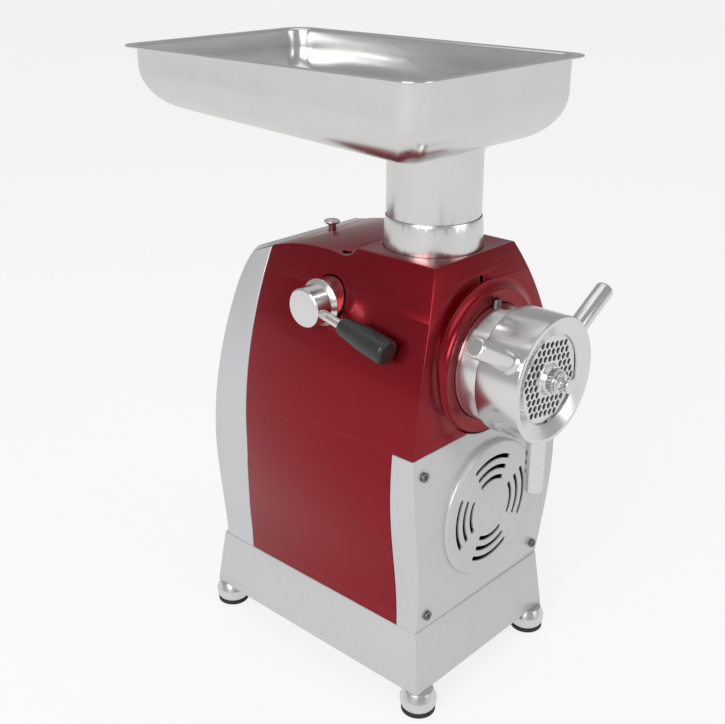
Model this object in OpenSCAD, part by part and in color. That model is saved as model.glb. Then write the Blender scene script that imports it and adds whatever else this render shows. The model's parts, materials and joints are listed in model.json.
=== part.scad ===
// Electric meat grinder, bench type, size 22 head.
// Millimetres, +Z up, feet on z = 0, -Y is the front (the plate end), +X is the machine's left when facing it.
// The origin is on the floor, midway along the machine's overall length.

/* [Part to draw] */
// Which node to draw

/* [Housing] */
// Half width at the widest height
belly_half_w = 105.2; // [100:0.1:108]
// Height of the widest point
belly_z = 224.4; // [215:0.1:235]
// Side curve radius above the widest point
side_r_up = 395; // [380:1:420]
// Half width where the sides meet the plinth
waist_half_w = 94.5; // [92:0.1:98]
// Height of the front platform
platform_z = 416.6; // [410:0.1:420]
// Sheet thickness
sheet_t = 2; // [1.5:0.1:2.5]
// Seam between the red shell and the rear cover
rear_seam_y = 73; // [70:0.5:80]
// Seam between the red shell and the front panel, on the sides
strip_seam_y = -111; // [-116:0.5:-106]
// Top edge of the front panel
panel_top_z = 264; // [258:0.5:266]

/* [Plinth and feet] */
// Plinth underside height
plinth_z0 = 24.4; // [20:0.1:28]
// Plinth top height
plinth_z1 = 85.9; // [80:0.1:90]
// Plinth bottom half width
plinth_half_w0 = 100; // [97:0.5:104]
// Plinth bottom front edge
plinth_front0 = -141.2; // [-145:0.1:-138]
// Plinth bottom back edge
plinth_back0 = 135.8; // [132:0.1:140]
// Foot spacing, half, across
foot_x = 87.3; // [84:0.1:90]
// Front feet position
foot_front_y = -133.2; // [-136:0.1:-130]
// Back feet position
foot_back_y = 127; // [124:0.1:130]
// Foot pad radius
foot_r = 16; // [14:0.5:18]

/* [Head] */
// Height of the auger axis
axis_z = 324.9; // [320:0.1:330]
// Barrel outside radius
barrel_r = 51.8; // [50:0.1:52]
// Barrel bore radius
bore_r = 39.5; // [38:0.1:40]
// Barrel front face
barrel_y0 = -189; // [-190:0.5:-188]
// Barrel shoulder at the spigot
barrel_y1 = -19.5; // [-20:0.1:-19.4]
// Spigot radius
spigot_r = 36; // [33:0.5:36.5]
// Socket ring outside radius
socket_ring_r = 66.5; // [64:0.1:68]
// Ring nut outside radius
ring_r = 55.8; // [55:0.1:57]
// Ring nut front face
ring_y0 = -200.5; // [-202:0.5:-199]
// Ring nut rear edge
ring_y1 = -158.5; // [-161:0.5:-156]
// Handle rod radius
rod_r = 8.5; // [7:0.5:9]
// Handle tip distance from the axis
rod_tip = 109; // [100:1:115]
// Plate radius
plate_r = 41; // [40.5:0.1:41]
// Plate hole radius
plate_hole_r = 2.75; // [2.25:0.05:2.9]
// Plate hole spacing
plate_pitch = 7; // [6.8:0.1:7.5]
// Auger pitch
auger_pitch = 42; // [36:1:48]
// Clearance between parts that slide
gap = 0.3; // [0.2:0.05:0.4]

/* [Feed tube and tray] */
// Feed tube axis
tube_y = -66.3; // [-68:0.1:-64]
// Feed tube outside radius
tube_r = 43.5; // [42.8:0.1:43.6]
// Feed tube mouth height
tube_top_z = 444; // [440:0.5:448]
// Tray spout outside radius
spout_r = 41.5; // [40:0.1:41.5]
// Tray rim height
tray_z = 573.6; // [570:0.1:576]
// Tray half width
tray_half_w = 116.6; // [112:0.1:120]
// Tray front edge
tray_y0 = -142.4; // [-145:0.1:-140]
// Tray back edge
tray_y1 = 216.9; // [210:0.1:216.9]
// Tray bottom height
tray_bottom_z = 503; // [500:0.5:508]
// How much higher the tray floor is at the back
tray_rise = 11; // [0:0.5:20]
// Tray sheet thickness
tray_t = 1.5; // [1.2:0.1:2]

/* [Drive] */
// Motor axis height
motor_z = 181.2; // [178:0.1:184]
// Motor can radius
motor_r = 60; // [54:0.5:62]
// Gear module
gear_m = 2; // [2:0.5:2]
// Motor pinion teeth
teeth_a = 14; // [14:1:14]
// First wheel teeth
teeth_b = 56; // [56:1:56]
// Second pinion teeth
teeth_c = 16; // [16:1:16]
// Output wheel teeth
teeth_d = 60; // [60:1:60]

/* [Clamp lever] */
// Clamp shaft position along the machine
lever_y = -9.9; // [-11:0.1:-9]
// Clamp shaft height
lever_z = 370.4; // [369:0.1:372]
// Clamp shaft radius
shaft_r = 6; // [5.5:0.1:6.2]
// Lever length from the shaft axis
lever_len = 93; // [85:1:98]
// Lever droop below level
lever_tilt = 12; // [5:1:20]

/* [Hidden] */
$fn = 96;
eps = 0.02;
base_z = plinth_z1;
plinth_half_w1 = 94.6;
plinth_front1 = -133.9;
plinth_back1 = 126.7;
body_front_y = -133.3;
body_back_y = 124;
case_y0 = 0;
case_y1 = 44;
gear_cd1 = gear_m * (teeth_a + teeth_b) / 2;
gear_cd2 = gear_m * (teeth_c + teeth_d) / 2;
axis_gap = axis_z - motor_z;
lay_dz = (gear_cd1 * gear_cd1 - gear_cd2 * gear_cd2 + axis_gap * axis_gap) / (2 * axis_gap);
lay_x = sqrt(gear_cd1 * gear_cd1 - lay_dz * lay_dz);
lay_z = motor_z + lay_dz;
angle_ab = atan2(lay_dz, lay_x);
angle_cd = atan2(axis_z - lay_z, -lay_x);
knob_y = 57.6;

// ---------- helpers ----------
function bez(a, b, c, n) = [for (i = [0:n]) let (t = i / n)
    (1 - t) * (1 - t) * a + 2 * t * (1 - t) * b + t * t * c];

// cylinder along Y from y0 to y1
module ycyl(r, y0, y1, x = 0, z = 0) {
    translate([x, y1, z]) rotate([90, 0, 0]) cylinder(r = r, h = y1 - y0);
}

// cone along Y: radius ra at y0, rb at y1
module ycone(ra, rb, y0, y1, x = 0, z = 0) {
    translate([x, y1, z]) rotate([90, 0, 0]) cylinder(r1 = rb, r2 = ra, h = y1 - y0);
}

module xcyl(r, x0, x1, y = 0, z = 0) {
    translate([x0, y, z]) rotate([0, 90, 0]) cylinder(r = r, h = x1 - x0);
}

module xcone(ra, rb, x0, x1, y = 0, z = 0) {
    translate([x0, y, z]) rotate([0, 90, 0]) cylinder(r1 = ra, r2 = rb, h = x1 - x0);
}

module zcyl(r, z0, z1, x = 0, y = 0) {
    translate([x, y, z0]) cylinder(r = r, h = z1 - z0);
}

module block(x0, x1, y0, y1, z0, z1) {
    translate([x0, y0, z0]) cube([x1 - x0, y1 - y0, z1 - z0]);
}

module yring(ro, ri, y0, y1, x = 0, z = 0) {
    difference() {
        ycyl(ro, y0, y1, x, z);
        ycyl(ri, y0 - 1, y1 + 1, x, z);
    }
}

// ---------- housing outline ----------
function side_half_w(z) =
    z >= belly_z ? belly_half_w - side_r_up + sqrt(side_r_up * side_r_up - pow(z - belly_z, 2)) :
    waist_half_w + (belly_half_w - waist_half_w) * (1 - cos(180 * max(0, z - 92) / (belly_z - 92))) / 2;

function side_steps() = [for (i = [0:22]) base_z - 2 + i * 15.2];

// front view outline, drawn in X and Z, pulled in by t
module front_outline(t) {
    polygon(concat(
        [for (z = side_steps()) [side_half_w(z) - t, z]],
        [for (i = [22:-1:0]) [-side_half_w(side_steps()[i]) + t, side_steps()[i]]]));
}

// side view outline, drawn in Y and Z, pulled in by t
function front_low(t) = bez([body_front_y + t, base_z], [-146.8 + t, 176], [-132.9 + t, 274], 10);
function front_high(t) = bez([-132.2 + t, 316], [-130.6 + t, 372], [-114.1 + t * 0.9, platform_z - t], 8);
function roof_dip(t) = bez([-27 - t * 0.4, platform_z - t], [-22 - t * 0.6, 407.6 - t], [-12, 408.7 - t], 5);
function roof_line(t) = bez([-5, 409.4 - t], [35, 412.6 - t], [rear_seam_y, 401.4 - t], 7);
function rear_corner(t) = bez([84 - t * 0.3, 399.6 - t], [101 - t, 400 - t * 0.6], [106.5 - t, 345], 7);

module side_outline(t) {
    polygon(concat(
        front_low(t), front_high(t), roof_dip(t), roof_line(t), rear_corner(t),
        [[body_back_y - t, 120], [body_back_y - 2 - t, base_z]]));
}

module housing_solid(t) {
    intersection() {
        rotate([90, 0, 0]) linear_extrude(height = 400, center = true) front_outline(t);
        rotate([90, 0, 90]) linear_extrude(height = 300, center = true) side_outline(t);
    }
}

module housing_sheet() {
    difference() {
        housing_solid(0);
        housing_solid(sheet_t);
        block(-200, 200, -200, 200, 0, base_z + eps);
    }
}

// ---------- housing pieces ----------
module plinth_solid(t, z_drop) {
    intersection() {
        rotate([90, 0, 0]) linear_extrude(height = 400, center = true) polygon([
            [-plinth_half_w0 + t, plinth_z0 - z_drop], [plinth_half_w0 - t, plinth_z0 - z_drop],
            [plinth_half_w1 - t, plinth_z1], [-plinth_half_w1 + t, plinth_z1]]);
        rotate([90, 0, 90]) linear_extrude(height = 400, center = true) polygon([
            [plinth_front0 + t, plinth_z0 - z_drop], [plinth_back0 - t, plinth_z0 - z_drop],
            [plinth_back1 - t, plinth_z1], [plinth_front1 + t, plinth_z1]]);
    }
}

module foot_places() {
    for (x = [-foot_x, foot_x]) {
        for (y = [foot_front_y, foot_back_y]) {
            translate([x, y, 0]) children();
        }
    }
}

module plinth() {
    color([0.82, 0.83, 0.84]) difference() {
        plinth_solid(0, 0);
        difference() {
            plinth_solid(sheet_t, 0.01);
            block(-200, 200, -200, 200, plinth_z1 - sheet_t, 100);
            foot_places() zcyl(13, 10, plinth_z0 + 3.98);
        }
        block(-88, 88, -126, 119, plinth_z1 - 3, 90);
        foot_places() zcyl(4.3, 10, 40);
    }
}

module base_plate() {
    color([0.6, 0.6, 0.62]) difference() {
        block(-86, 86, -124, 117, plinth_z0 + 4, plinth_z0 + 7);
        for (y = [-90:20:90]) {
            block(-35, 35, y - 3, y + 3, 20, 40);
        }
    }
}

module chassis_plate() {
    color([0.55, 0.56, 0.58]) difference() {
        block(-91, 91, -129, 122, plinth_z1 - 5, plinth_z1 - 2.02);
        block(8, 24, 98, 112, 70, 100);
        for (x = [-50, 50]) {
            for (y = [-84, -24]) {
                zcyl(3.2, 70, 100, x, y);
            }
        }
        for (x = [-42, 42]) {
            for (y = [6, 38]) {
                zcyl(3.2, 70, 100, x, y);
            }
        }
    }
}

module shell_region() {
    difference() {
        block(-200, 200, -200, rear_seam_y, base_z, 500);
        block(-200, 200, -200, strip_seam_y, 0, panel_top_z);
    }
}

module housing_shell() {
    color([0.58, 0.13, 0.17]) difference() {
        intersection() {
            housing_sheet();
            shell_region();
        }
        ycyl(socket_ring_r + 0.3, -160, -100, 0, axis_z);
        zcyl(tube_r + 0.4, 380, 440, 0, tube_y);
        xcyl(22.4, -120, -40, lever_y, lever_z);
        zcyl(4.7, 380, 440, 0, knob_y);
        zcyl(4.3, 395, 440, -50.5, -10.1);
        ycyl(2.8, -160, -110, 0, 396.2);
    }
}

module vent_slots(y0, y1) {
    for (r = [30, 40, 50]) {
        for (a = [0:90:270]) {
            translate([0, y1, motor_z]) rotate([90, 0, 0]) rotate([0, 0, a - 28])
                rotate_extrude(angle = 56) translate([r - 2.1, 0]) square([4.2, y1 - y0]);
            for (e = [-28, 28]) {
                ycyl(2.1, y0, y1, r * cos(a + e), motor_z + r * sin(a + e));
            }
        }
    }
}

module screw_places_front() {
    for (s = [-1, 1]) {
        translate([s * 91.5, -136.8, 247.3]) children();
        translate([s * 82, -136.3, 102.5]) children();
    }
}

module front_panel() {
    color([0.78, 0.79, 0.81]) difference() {
        union() {
            intersection() {
                housing_sheet();
                block(-200, 200, -200, strip_seam_y, base_z, panel_top_z);
            }
            ycone(64, 65.5, -142.7, -141.5, 0, motor_z);
            ycyl(65.5, -141.5, -136, 0, motor_z);
        }
        ycyl(62.5, -140.7, -120, 0, motor_z);
        ycyl(socket_ring_r + 0.3, -160, -100, 0, axis_z);
        vent_slots(-150, -120);
        screw_places_front() ycyl(2.6, -10, 10);
    }
}

module panel_screws() {
    color([0.3, 0.3, 0.32]) screw_places_front() {
        difference() {
            ycyl(4.4, -2.4, 0);
            translate([0, -1, 0]) rotate([90, 0, 0]) cylinder(r = 2.2, h = 4, $fn = 6);
        }
        ycyl(2.5, 0, 11);
    }
}

module rear_cover() {
    color([0.82, 0.83, 0.84]) difference() {
        intersection() {
            housing_sheet();
            block(-200, 200, rear_seam_y, 200, base_z, 500);
        }
        at_switch() block(-13.2, 13.2, -15, 15, -16, 16);
        block(-14.2, 14.2, 100, 140, 112, 134);
        for (i = [0:6]) {
            block(-38, 38, 100, 140, 172 + i * 10, 176 + i * 10);
        }
        rear_screw_places() ycyl(2.2, -12, 12);
    }
}

module rear_screw_places() {
    for (s = [-1, 1]) {
        translate([s * 70, 107.7, 330]) children();
        translate([s * 78, 123.1, 104]) children();
    }
}

module rear_cover_screws() {
    color([0.5, 0.5, 0.52]) rear_screw_places() {
        difference() {
            ycyl(4, 0.4, 3);
            block(-3, 3, 1.8, 4, -0.6, 0.6);
        }
        ycyl(2.1, -12, 0.4);
    }
}

module socket_ring() {
    color([0.55, 0.12, 0.16]) difference() {
        translate([0, 0, axis_z]) rotate([90, 0, 0]) rotate_extrude() polygon([
            [barrel_r + 0.6, 125], [60, 125], [60, 114.6], [socket_ring_r, 114.6], [socket_ring_r, 135.2],
            [socket_ring_r - 2, 136.6], [60.5, 136.6], [59.5, 135.8], [57, 135.8],
            [56, 136.6], [53.6, 136.6], [barrel_r + 0.6, 135.6]]);
        block(-4.4, 4.4, -140, -130, axis_z + 45, axis_z + 57.6);
    }
}

module socket_casting() {
    color([0.68, 0.69, 0.7]) difference() {
        union() {
            ycyl(58, -124.9, case_y0 - 0.02, 0, axis_z);
            zcyl(48, axis_z, 402, 0, tube_y);
            block(-61, -20, -20, case_y0 - 0.02, lever_z - 14, lever_z + 13);
        }
        ycyl(barrel_r + gap, -130, barrel_y1 + gap, 0, axis_z);
        ycyl(spigot_r + gap, -30, 10, 0, axis_z);
        zcyl(tube_r + gap, axis_z, 410, 0, tube_y);
        xcyl(7.82, -70, -20, lever_y, lever_z);
        xcyl(9.6, -30, 26, lever_y, lever_z);
    }
}

module vent_guard() {
    color([0.2, 0.2, 0.22]) {
        for (r = [16, 35, 54]) {
            yring(r + 1.2, r - 1.2, -140.68, -138.68, 0, motor_z);
        }
        for (a = [45, 135]) {
            difference() {
                translate([0, -139.5, motor_z]) rotate([0, a, 0]) cube([114, 1.6, 3], center = true);
                yring(17.2, 14.8, -142, -137, 0, motor_z);
                yring(36.2, 33.8, -142, -137, 0, motor_z);
                yring(80, 52.8, -142, -137, 0, motor_z);
            }
        }
    }
}

module foot_cups() {
    color([0.75, 0.75, 0.76]) foot_places() difference() {
        rotate_extrude() polygon([[4.6, 5], [15.2, 5], [17.2, 12], [17.2, 14.5], [13.6, 24.38], [4.6, 24.38]]);
        zcyl(9, 4, 19.4);
    }
}

module foot_studs() {
    color([0.6, 0.6, 0.62]) foot_places() {
        zcyl(4.2, 8, 34);
        zcyl(8.4, 13, 19.38);
    }
}

module foot_pads() {
    color([0.07, 0.07, 0.07]) foot_places() difference() {
        rotate_extrude() polygon([[0, 0], [foot_r - 1, 0], [foot_r, 1], [foot_r, 4], [foot_r - 0.9, 4.98],
            [8.6, 4.98], [8.6, 10], [0, 10]]);
        zcyl(4.6, 7.5, 20);
    }
}

// ---------- motor ----------
module motor_can() {
    color([0.3, 0.31, 0.33]) difference() {
        yring(motor_r, motor_r - 3, -94, -16, 0, motor_z);
        for (a = [30:60:330]) {
            translate([(motor_r - 1) * cos(a), -29, motor_z + (motor_r - 1) * sin(a)]) rotate([0, -a, 0])
                cube([10, 14, 16], center = true);
        }
    }
}

module motor_stator() {
    color([0.72, 0.42, 0.2]) difference() {
        union() {
            ycyl(motor_r - 3.02, -76, -38, 0, motor_z);
            yring(motor_r - 12, 38, -90, -22, 0, motor_z);
        }
        ycyl(34.5, -100, 0, 0, motor_z);
        for (a = [0:30:330]) {
            translate([34.5 * cos(a), -57, motor_z + 34.5 * sin(a)]) rotate([0, -a, 0])
                cube([14, 39, 4], center = true);
        }
    }
}

module motor_end_caps() {
    color([0.62, 0.63, 0.65]) for (side = [0, 1]) {
        mirror([0, side, 0]) translate([0, side == 0 ? 0 : 110, 0]) difference() {
            union() {
                ycyl(motor_r, -102, -94.02, 0, motor_z);
                ycyl(20, -102, -86, 0, motor_z);
            }
            ycyl(14.03, -100, -85, 0, motor_z);
            ycyl(9.5, -110, -80, 0, motor_z);
            for (a = [0:60:300]) {
                translate([34 * cos(a), -98, motor_z + 34 * sin(a)]) rotate([0, -a, 0]) cube([18, 10, 16], center = true);
            }
        }
    }
}

module motor_bearings() {
    color([0.75, 0.75, 0.78]) {
        yring(14, 6.05, -99.9, -92, 0, motor_z);
        yring(14, 6.05, -18, -10.1, 0, motor_z);
    }
}

module motor_cradle() {
    color([0.5, 0.51, 0.53]) difference() {
        union() {
            for (y = [-84, -24]) {
                block(-56, 56, y - 5, y + 5, base_z - 2, 150);
            }
            block(-62, 62, -92, -16, base_z - 2, base_z + 4);
        }
        ycyl(motor_r + eps, -120, 10, 0, motor_z);
        for (x = [-50, 50]) {
            for (y = [-84, -24]) {
                zcyl(3.2, 60, base_z + 12, x, y);
            }
        }
    }
}

module motor_shaft() {
    color([0.72, 0.72, 0.74]) {
        ycyl(6, -128, 24, 0, motor_z);
        ycyl(8, -90, -20, 0, motor_z);
    }
}

module motor_rotor() {
    color([0.45, 0.46, 0.48]) {
        yring(34, 8.02, -76, -38, 0, motor_z);
        yring(32, 26, -82, -76, 0, motor_z);
        yring(32, 26, -38, -32, 0, motor_z);
    }
}

module motor_fan() {
    color([0.15, 0.15, 0.16]) {
        yring(14, 6.02, -128, -110, 0, motor_z);
        yring(48, 14, -112, -110, 0, motor_z);
        for (a = [0:40:320]) {
            translate([0, 0, motor_z]) rotate([0, a, 0]) block(14.5, 48, -126, -112, -1.2, 1.2);
        }
    }
}

// ---------- gears ----------
// spur gear outline about the origin, one tooth centred on angle 0
module gear_outline(teeth, m) {
    rp = m * teeth / 2;
    rb = rp * cos(20);
    ra = rp + m;
    rf = rp - 1.25 * m;
    alp = tan(20) * 180 / PI - 20;
    half = 90 / teeth - 0.09 * 180 / PI / rp + alp;
    r_low = max(rb, rf + 0.2);
    rs = [for (i = [0:3]) r_low + (ra - r_low) * i / 3];
    flank = [for (r = rs) [r, half - (tan(acos(rb / r)) * 180 / PI - acos(rb / r))]];
    step = 360 / teeth;
    pts = [for (k = [0:teeth - 1]) each concat(
        [[rf, k * step - half]],
        [for (i = [0:3]) [flank[i][0], k * step - flank[i][1]]],
        [for (i = [3:-1:0]) [flank[i][0], k * step + flank[i][1]]],
        [[rf, k * step + half]])];
    polygon([for (p = pts) [p[0] * cos(p[1]), p[0] * sin(p[1])]]);
}

// gear with its axis along Y, turned so a tooth (phase 0) points along the angle given in X and Z
module ygear(teeth, y0, y1, x, z, angle, bore) {
    translate([x, y1, z]) rotate([90, 0, 0]) difference() {
        rotate([0, 0, angle]) linear_extrude(height = y1 - y0) gear_outline(teeth, gear_m);
        translate([0, 0, -1]) cylinder(r = bore, h = y1 - y0 + 2);
    }
}

module lightening(r, hole_r, y0, y1, x, z) {
    for (a = [0:60:300]) {
        ycyl(hole_r, y0, y1, x + r * cos(a), z + r * sin(a));
    }
}

module motor_pinion() {
    color([0.66, 0.66, 0.68]) difference() {
        union() {
            ygear(teeth_a, 6, 21, 0, motor_z, angle_ab, 1);
            ycyl(9, 2.02, 6, 0, motor_z);
        }
        ycyl(6.02, -5, 30, 0, motor_z);
    }
}

module layshaft() {
    color([0.7, 0.7, 0.72]) ycyl(7.5, 1.2, 43, lay_x, lay_z);
}

module first_wheel() {
    color([0.85, 0.82, 0.72]) difference() {
        ygear(teeth_b, 8, 19, lay_x, lay_z, angle_ab + 180 + 180 / teeth_b, 7.52);
        yring(46, 20, 5, 10.5, lay_x, lay_z);
        yring(46, 20, 16.5, 22, lay_x, lay_z);
        lightening(33, 8, 0, 30, lay_x, lay_z);
    }
}

module second_pinion() {
    color([0.66, 0.66, 0.68]) ygear(teeth_c, 19.5, 40.5, lay_x, lay_z, angle_cd, 7.52);
}

module output_wheel() {
    color([0.6, 0.61, 0.63]) difference() {
        ygear(teeth_d, 22, 39, 0, axis_z, angle_cd + 180 + 180 / teeth_d, 15.02);
        yring(50, 26, 18, 26, 0, axis_z);
        yring(50, 26, 35, 45, 0, axis_z);
        lightening(38, 8, 0, 50, 0, axis_z);
    }
}

module output_shaft() {
    color([0.7, 0.7, 0.72]) difference() {
        union() {
            ycyl(20, -3, 6.2, 0, axis_z);
            ycyl(15, 6.2, 39.5, 0, axis_z);
            ycyl(10, 39.5, 51.5, 0, axis_z);
        }
        translate([0, 5, axis_z]) cube([18.6, 20, 18.6], center = true);
    }
}

module case_outline(y0, y1, r_out, r_lay, r_mot) {
    ycyl(r_out, y0, y1, 0, axis_z);
    ycyl(r_lay, y0, y1, lay_x, lay_z);
    ycyl(r_mot, y0, y1, 0, motor_z);
    block(-r_mot, r_mot, y0, y1, motor_z, lay_z);
}

module gearbox_case() {
    color([0.6, 0.61, 0.62]) difference() {
        union() {
            case_outline(case_y0, case_y1, 68, 64, 26);
            block(-30, 30, case_y0 + 2, case_y1 - 2, base_z, motor_z - 10);
            block(-50, 50, case_y0 + 2, case_y1 - 2, base_z - 2, base_z + 4);
        }
        case_outline(5.5, case_y1 + 1, 64.2, 60.2, 20);
        ycyl(32.03, -5, 12, 0, axis_z);
        ycyl(17.53, 1, 12, lay_x, lay_z);
        ycyl(14.5, -5, 12, 0, motor_z);
        block(-24, 24, case_y0 + 8, case_y1 - 8, base_z + 10, motor_z - 34);
        for (x = [-42, 42]) {
            for (y = [6, 38]) {
                zcyl(3.2, 60, base_z + 12, x, y);
            }
        }
    }
}

module gearbox_cover() {
    color([0.58, 0.59, 0.6]) difference() {
        union() {
            case_outline(case_y1 + 0.02, case_y1 + 3, 68, 64, 26);
            ycyl(25, case_y1 + 3, case_y1 + 10, 0, axis_z);
            ycyl(17, 40.8, case_y1 + 3, lay_x, lay_z);
        }
        ycyl(14.02, 40, 44, lay_x, lay_z);
        ycyl(21.03, 40, case_y1 + 8, 0, axis_z);
        gearbox_screw_places() ycyl(2.2, 40, 60);
    }
}

module gearbox_screw_places() {
    for (a = [20, 90, 160]) {
        translate([66.1 * cos(a), 0, axis_z + 66.1 * sin(a)]) children();
    }
    translate([-23, 0, motor_z + 4]) children();
    translate([23, 0, motor_z + 4]) children();
}

module gearbox_screws() {
    color([0.4, 0.4, 0.42]) gearbox_screw_places() difference() {
        ycyl(3.6, case_y1 + 3.02, case_y1 + 6.5);
        translate([0, case_y1 + 8, 0]) rotate([90, 0, 0]) cylinder(r = 1.8, h = 3, $fn = 6);
    }
}

module gearbox_bearings() {
    color([0.75, 0.75, 0.78]) {
        yring(32, 20.05, 0.5, 6, 0, axis_z);
        yring(17.5, 7.55, 1.1, 5.4, lay_x, lay_z);
        yring(14, 7.55, 40.8, 43.9, lay_x, lay_z);
        yring(21, 10.05, 40, 51.9, 0, axis_z);
    }
}

module shaft_seal() {
    color([0.1, 0.1, 0.1]) yring(31, 20.05, 0.05, 0.48, 0, axis_z);
}

// ---------- electrics ----------
module capacitor() {
    color([0.85, 0.85, 0.83]) {
        xcyl(16, -80, -20, 90, 106);
        xcyl(6, -20, -16, 90, 106);
        difference() {
            block(-60, -45, 72, 108, base_z - 2, 104);
            xcyl(16.02, -90, 10, 90, 106);
        }
    }
}

module terminal_block() {
    color([0.9, 0.9, 0.88]) difference() {
        block(28, 60, 80, 98, base_z - 2, base_z + 16);
        for (i = [0:3]) {
            zcyl(2.4, base_z + 8, base_z + 30, 32 + i * 8, 89);
        }
    }
}

module power_inlet() {
    color([0.09, 0.09, 0.1]) difference() {
        union() {
            block(-24, 24, 124.05, 126.8, 110, 136);
            block(-14, 14, 100, 124.05, 112.2, 133.8);
        }
        block(-12, 12, 104, 130, 115, 131);
        for (x = [-20, 20]) {
            ycyl(1.8, 120, 130, x, 123);
        }
    }
    color([0.8, 0.75, 0.5]) for (x = [-7, 0, 7]) {
        block(x - 1, x + 1, 103.9, 120, x == 0 ? 124 : 120, x == 0 ? 128 : 124);
    }
}

// the switch stands on the leaning back face
module at_switch() {
    translate([0, 110, 300]) rotate([4.45, 0, 0]) children();
}

module switch_bezel() {
    color([0.08, 0.08, 0.09]) at_switch() difference() {
        union() {
            block(-16, 16, 0.05, 3, -19, 19);
            block(-13, 13, -20, 0.05, -15.8, 15.8);
        }
        block(-11, 11, -17, 8, -13, 13);
    }
}

module switch_rocker() {
    color([0.55, 0.06, 0.06]) at_switch() translate([0, -6.6, 0]) rotate([-8, 0, 0]) difference() {
        intersection() {
            xcyl(24, -10.6, 10.6, -10.8, 0);
            block(-12, 12, -3, 16, -11, 11);
        }
        xcyl(30, -12, 12, 37, 0);
    }
}

module reset_switch() {
    color([0.1, 0.1, 0.1]) difference() {
        union() {
            block(-12, 12, 51, 68, 366, 392);
            zcyl(7, 392, 401.2, 0, knob_y);
        }
        zcyl(4.3, 380, 410, 0, knob_y);
        zcyl(6, 384, 396, 0, knob_y);
    }
}

module reset_button() {
    color([0.75, 0.75, 0.76]) {
        zcyl(4, 388.2, 413, 0, knob_y);
        translate([0, knob_y, 413]) rotate_extrude() polygon(concat(
            [[0, 0], [7.2, 0], [7.7, 0.8]], bez([7.7, 1.4], [7, 3.4], [0, 3.8], 6)));
        zcyl(5.6, 388.2, 389.4, 0, knob_y);
    }
}

module reset_spring() {
    color([0.6, 0.6, 0.6]) for (i = [0:3]) {
        translate([0, knob_y, 384.7 + i * 0.98]) rotate_extrude() translate([3.2, 0]) circle(r = 0.45, $fn = 16);
    }
}

// ---------- head ----------
module head_barrel() {
    color([0.74, 0.74, 0.75]) difference() {
        union() {
            ycyl(barrel_r, ring_y1 + 0.5, barrel_y1, 0, axis_z);
            ycyl(50, barrel_y0, ring_y1 + 0.5, 0, axis_z);
            ycyl(spigot_r, barrel_y1, -4, 0, axis_z);
        }
        ycyl(bore_r, barrel_y0 - 1, -30, 0, axis_z);
        ycyl(plate_r + gap, barrel_y0 - 1, -186, 0, axis_z);
        ycyl(12 + gap, -40, 10, 0, axis_z);
        zcyl(38, axis_z, 400, 0, tube_y);
        zcyl(4.02, axis_z + 46.5, 400, 0, -137.4);
        ycyl(2.02, -192, -182, 0, axis_z - 41.8);
    }
}

module index_pin() {
    color([0.6, 0.58, 0.52]) {
        zcyl(4, axis_z + 46.5, axis_z + 55.2, 0, -137.4);
        zcyl(3.2, axis_z + 55.2, axis_z + 57, 0, -137.4);
    }
}

module plate_key() {
    color([0.6, 0.6, 0.62]) ycyl(2, -188.8, -182, 0, axis_z - 41.8);
}

// one thin fin of the auger's flight, at step i
module fin(i) {
    translate([0, -37 - i * auger_pitch / 20, axis_z]) rotate([0, -18 * i, 0]) block(11, 38.9, -3, 0, -1, 1);
}

module auger() {
    color([0.72, 0.72, 0.73]) difference() {
        union() {
            ycyl(13, -176.9, -31, 0, axis_z, $fn = 32);
            ycyl(37, -36, -31, 0, axis_z, $fn = 32);
            ycyl(12, -31, -3.6, 0, axis_z, $fn = 32);
            translate([0, 4.55, axis_z]) cube([18, 16.9, 18], center = true);
            translate([0, -181.2, axis_z]) cube([16, 8.6, 16], center = true);
            for (i = [0:64]) {
                hull() {
                    fin(i);
                    fin(i + 1);
                }
            }
        }
        ycyl(5.85, -190, -150, 0, axis_z, $fn = 32);
    }
}

module knife() {
    color([0.8, 0.8, 0.82]) difference() {
        union() {
            ycyl(16, -185.7, -178, 0, axis_z);
            for (a = [0:90:270]) {
                translate([0, 0, axis_z]) rotate([0, a, 0]) rotate([90, 0, 0]) translate([0, 0, 178])
                    linear_extrude(height = 7.7) polygon([[0, -7], [26, -8.5], [37.5, -4], [38, 6.5], [22, 4.5], [0, 8]]);
            }
        }
        translate([0, -180, axis_z]) cube([16.1, 20, 16.1], center = true);
    }
}

module plate() {
    hub_r = 14;
    color([0.78, 0.78, 0.8]) difference() {
        union() {
            ycyl(plate_r, -194.3, -186.2, 0, axis_z);
            ycone(12.4, hub_r, -198.8, -194.3, 0, axis_z);
        }
        ycyl(6.1, -210, -180, 0, axis_z);
        translate([0, 0, axis_z]) rotate([0, 10, 0]) for (i = [-5:5]) {
            for (j = [-6:6]) {
                px = plate_pitch * (i + j / 2);
                pz = plate_pitch * j * 0.866;
                pr = sqrt(px * px + pz * pz);
                if (pr > 16.5 && pr < 35.6) {
                    translate([px, -180, pz]) rotate([90, 0, 0]) cylinder(r = plate_hole_r, h = 20, $fn = 20);
                }
            }
        }
        translate([0, -190, axis_z - 41.8]) cube([4.6, 20, 6], center = true);
    }
}

module auger_stud() {
    color([0.76, 0.76, 0.77]) translate([0, 0, axis_z]) rotate([90, 0, 0]) rotate_extrude() polygon(concat(
        [[0, 152], [5.8, 152], [5.8, 206.6], [3.6, 207.6], [3.6, 210.4], [5, 211.4]],
        bez([6.6, 212.4], [7, 216.4], [0, 216.9], 6)));
}

module knurled_nut() {
    color([0.62, 0.62, 0.63]) difference() {
        union() {
            ycyl(10.2, -204.2, -199.1, 0, axis_z);
            for (a = [0:15:345]) {
                translate([0, 0, axis_z]) rotate([0, a, 0]) block(9, 11.2, -203.6, -199.7, -0.7, 0.7);
            }
        }
        ycyl(5.83, -210, -190, 0, axis_z);
    }
}

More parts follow.
